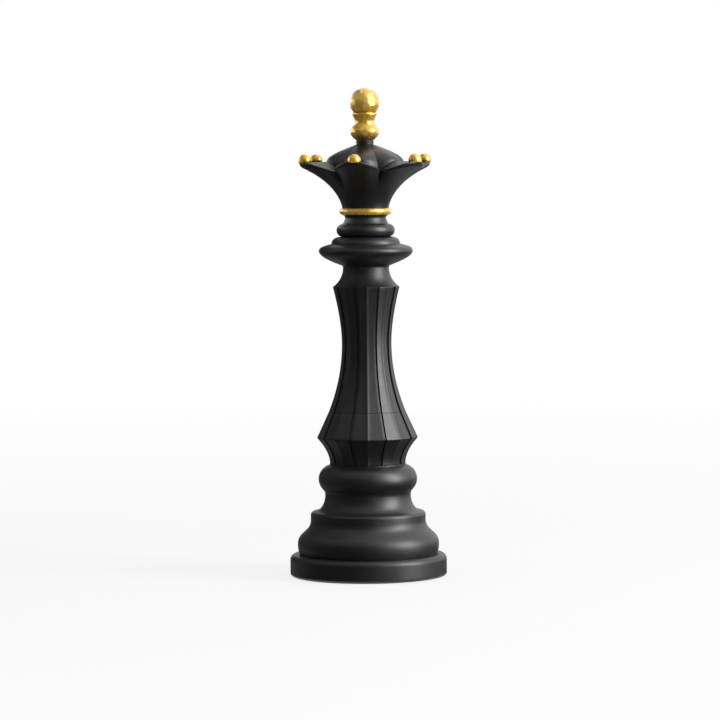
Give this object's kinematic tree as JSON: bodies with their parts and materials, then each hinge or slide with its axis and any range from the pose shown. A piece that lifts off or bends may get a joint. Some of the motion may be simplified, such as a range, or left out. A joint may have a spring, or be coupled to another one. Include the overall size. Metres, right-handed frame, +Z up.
{
  "type": "chess queen figure",
  "caption": "Tall weighted chess queen: turned black base, ribbed waisted column, petalled crown and a gold finial that unscrews from the tie rod clamping the stack.",
  "frame": {"origin": "on the floor, under the middle of the foot pad", "axes": "+Z up along the tie rod, -Y towards the front of the picture, +X to its right"},
  "size_m": [0.09, 0.09, 0.28],
  "materials": {
    "black_resin": "cast resin, satin black paint",
    "gold": "gold leaf, slightly crinkled",
    "brass": "plain turned brass",
    "steel": "zinc plated",
    "ballast_iron": "as cast",
    "rubber": "matt",
    "fibre": "vulcanised fibre"
  },
  "bodies": {
    "stack": {"foot_pad": "rubber", "plinth": "black_resin", "base_washer": "steel", "spring_washer": "steel", "tie_nut": "steel", "ballast_ring": "ballast_iron", "base_moulding": "black_resin", "base_bead": "black_resin", "column": "black_resin", "column_neck": "black_resin", "collar_disc": "black_resin", "collar_bead": "black_resin", "neck_ring": "gold", "coronet": "black_resin", "crown_bead_1": "gold", "crown_bead_2": "gold", "crown_bead_3": "gold", "crown_bead_4": "gold", "crown_bead_5": "gold", "crown_bead_6": "gold", "crown_dome": "black_resin", "tie_rod": "steel"},
    "finial_carrier": {"finial_washer": "fibre"},
    "finial": {"finial_insert": "brass", "finial_stem": "gold", "finial_ball": "gold"}
  },
  "joints": [
    {"name": "finial_rise", "type": "slide", "parent": "stack", "child": "finial_carrier", "axis": [0, 0, 1], "range_m": [0, 0.01]},
    {"name": "finial_turn", "type": "hinge", "parent": "finial_carrier", "child": "finial", "pos_m": [0, 0, 0.2502], "axis": [0, 0, 1], "range_deg": [0, 3600]}
  ],
  "couplings": [
    {"joint": "finial_rise", "follows": "finial_turn", "m_per_rad": 0.00012732}
  ]
}
